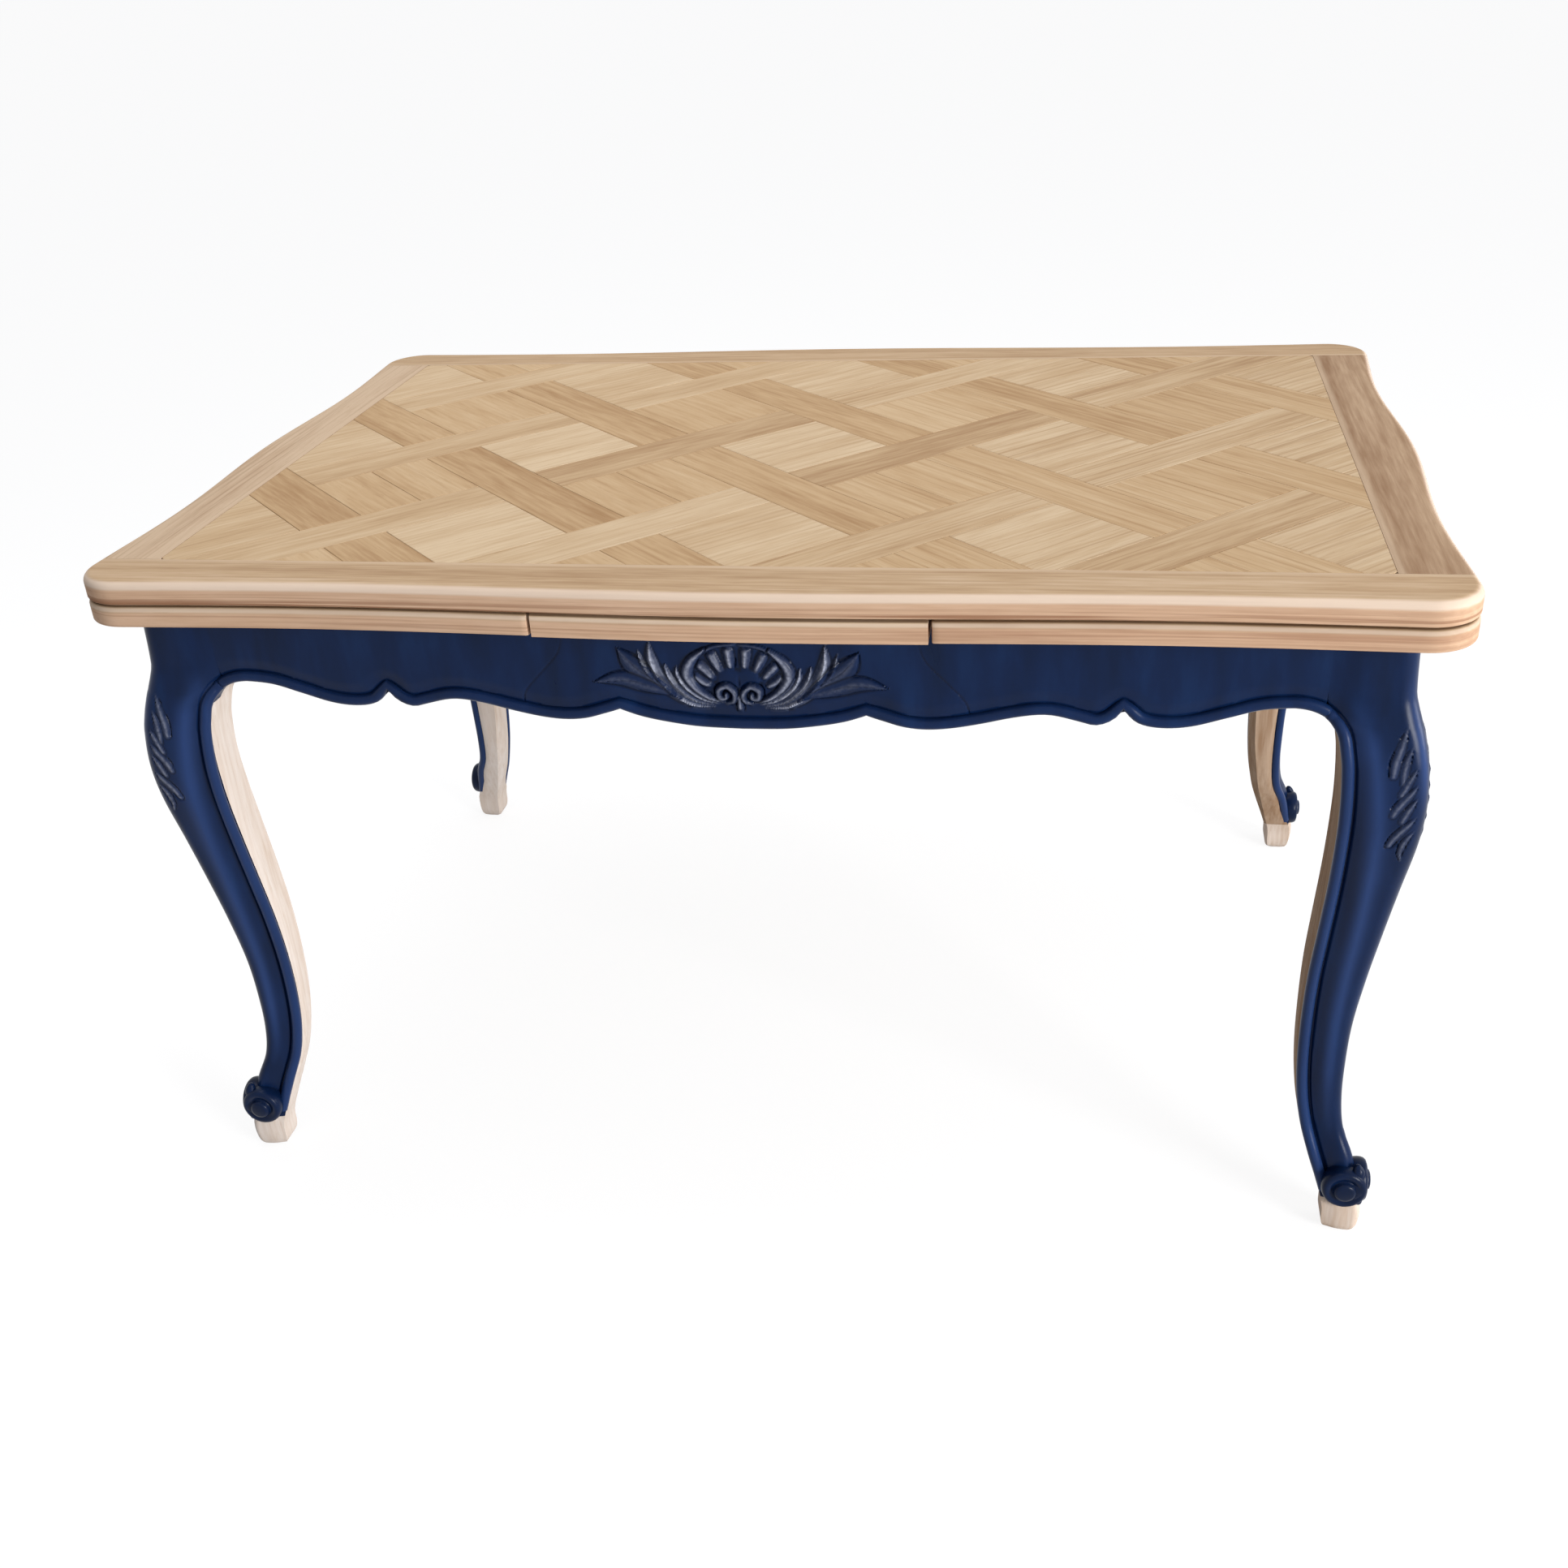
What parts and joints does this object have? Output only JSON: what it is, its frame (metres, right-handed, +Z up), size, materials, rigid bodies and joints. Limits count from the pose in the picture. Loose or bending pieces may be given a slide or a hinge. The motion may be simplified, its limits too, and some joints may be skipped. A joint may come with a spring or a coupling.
{
  "type": "draw-leaf dining table",
  "caption": "Oak dining table with a loose woven-parquet top over draw leaves on runners, scalloped painted aprons and cabriole legs on scroll feet.",
  "frame": {"origin": "middle of the footprint on the floor, table closed", "axes": "+X along the length, -Y towards the picture's viewer, +Z up"},
  "size_m": [1.378, 0.922, 0.76],
  "materials": {
    "painted_oak": "satin navy paint on the outer faces, bare oak on the inner faces",
    "border_oak": "brushed bare oak, matt",
    "parquet_squares_oak": "brushed bare oak, matt",
    "parquet_strips_oak": "brushed bare oak, matt",
    "carcass_oak": "planed bare oak, matt",
    "peg_oak": "turned oak",
    "screw_steel": "zinc plated"
  },
  "bodies": {
    "frame": {"front_left_leg": "painted_oak", "front_right_leg": "painted_oak", "back_left_leg": "painted_oak", "back_right_leg": "painted_oak", "front_apron": "painted_oak", "back_apron": "painted_oak", "left_apron": "painted_oak", "right_apron": "painted_oak", "centre_board": "border_oak", "centre_rail": "carcass_oak", "joint_pegs": "peg_oak", "centre_board_screws": "screw_steel"},
    "top": {"top_core": "carcass_oak", "top_front_board": "border_oak", "top_back_board": "border_oak", "top_left_board": "border_oak", "top_right_board": "border_oak", "top_pale_squares": "parquet_squares_oak", "top_dark_squares": "parquet_squares_oak", "top_rising_strips": "parquet_strips_oak", "top_falling_strips": "parquet_strips_oak", "top_guide_pegs": "peg_oak"},
    "left_leaf": {"left_leaf_core": "carcass_oak", "left_leaf_front_board": "border_oak", "left_leaf_back_board": "border_oak", "left_leaf_outer_board": "border_oak", "left_leaf_inner_board": "border_oak", "left_leaf_squares": "parquet_squares_oak", "left_leaf_strips": "parquet_strips_oak", "left_leaf_front_runner": "carcass_oak", "left_leaf_back_runner": "carcass_oak", "left_leaf_screws": "screw_steel", "left_leaf_stop_pegs": "peg_oak"},
    "right_leaf": {"right_leaf_core": "carcass_oak", "right_leaf_front_board": "border_oak", "right_leaf_back_board": "border_oak", "right_leaf_outer_board": "border_oak", "right_leaf_inner_board": "border_oak", "right_leaf_squares": "parquet_squares_oak", "right_leaf_strips": "parquet_strips_oak", "right_leaf_front_runner": "carcass_oak", "right_leaf_back_runner": "carcass_oak", "right_leaf_screws": "screw_steel", "right_leaf_stop_pegs": "peg_oak"}
  },
  "joints": [
    {"name": "left_leaf_draw", "type": "slide", "parent": "frame", "child": "left_leaf", "axis": [-1, 0, 0], "range_m": [0, 0.4935]},
    {"name": "right_leaf_draw", "type": "slide", "parent": "frame", "child": "right_leaf", "axis": [1, 0, 0], "range_m": [0, 0.4935]},
    {"name": "top_lift", "type": "slide", "parent": "frame", "child": "top", "axis": [0, 0, 1], "range_m": [0, 0.03]}
  ]
}
